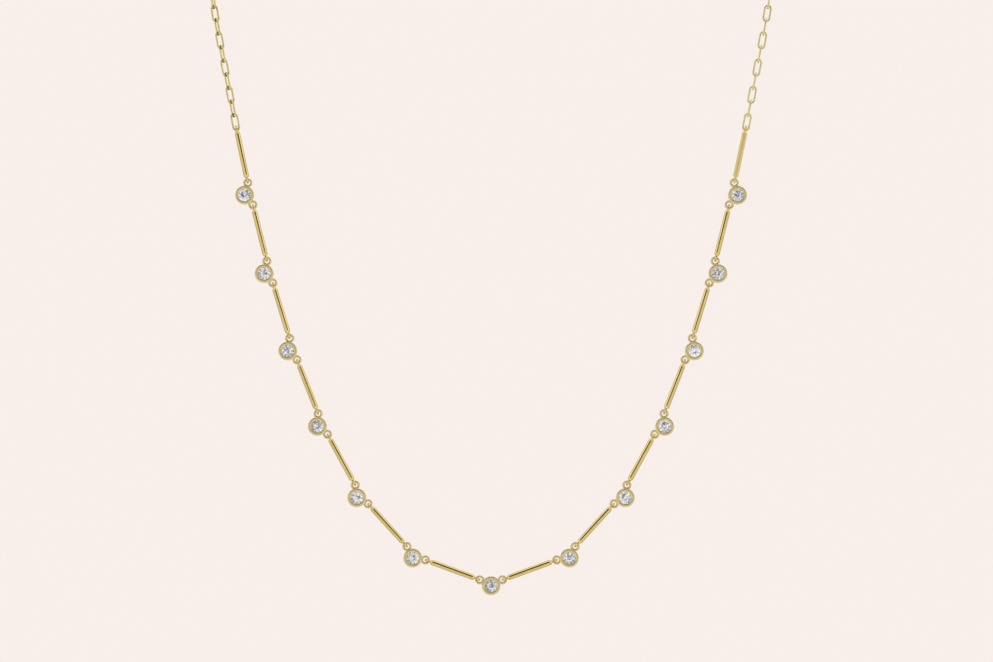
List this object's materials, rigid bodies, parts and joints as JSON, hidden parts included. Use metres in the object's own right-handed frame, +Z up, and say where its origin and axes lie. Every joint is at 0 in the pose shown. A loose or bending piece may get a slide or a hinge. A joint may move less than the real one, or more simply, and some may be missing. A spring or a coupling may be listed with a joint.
{
  "type": "diamond necklace",
  "caption": "Fine gold necklace: round stones in rubbed-over settings joined by slim straight bars, hanging in a curve from a paperclip chain that closes at the nape.",
  "frame": {"origin": "middle of the clasp, at the nape of the neck, where the necklace hangs", "axes": "+Z up as worn, -Y the way the wearer and the front row face, +X to the viewer's right"},
  "size_m": [0.1031, 0.0723, 0.139],
  "materials": {
    "gold": "polished pale yellow gold",
    "diamond": "clear, cut and polished"
  },
  "bodies": {
    "root": {"setting_01": "gold", "setting_02": "gold", "setting_03": "gold", "setting_04": "gold", "setting_05": "gold", "setting_06": "gold", "setting_07": "gold", "setting_08": "gold", "setting_09": "gold", "setting_10": "gold", "setting_11": "gold", "setting_12": "gold", "setting_13": "gold", "stone_01": "diamond", "stone_02": "diamond", "stone_03": "diamond", "stone_04": "diamond", "stone_05": "diamond", "stone_06": "diamond", "stone_07": "diamond", "stone_08": "diamond", "stone_09": "diamond", "stone_10": "diamond", "stone_11": "diamond", "stone_12": "diamond", "stone_13": "diamond", "bar_01": "gold", "bar_02": "gold", "bar_03": "gold", "bar_04": "gold", "bar_05": "gold", "bar_06": "gold", "bar_07": "gold", "bar_08": "gold", "bar_09": "gold", "bar_10": "gold", "bar_11": "gold", "bar_12": "gold", "bar_13": "gold", "bar_14": "gold", "chain_left": "gold", "chain_right": "gold", "clasp": "gold"}
  },
  "joints": []
}
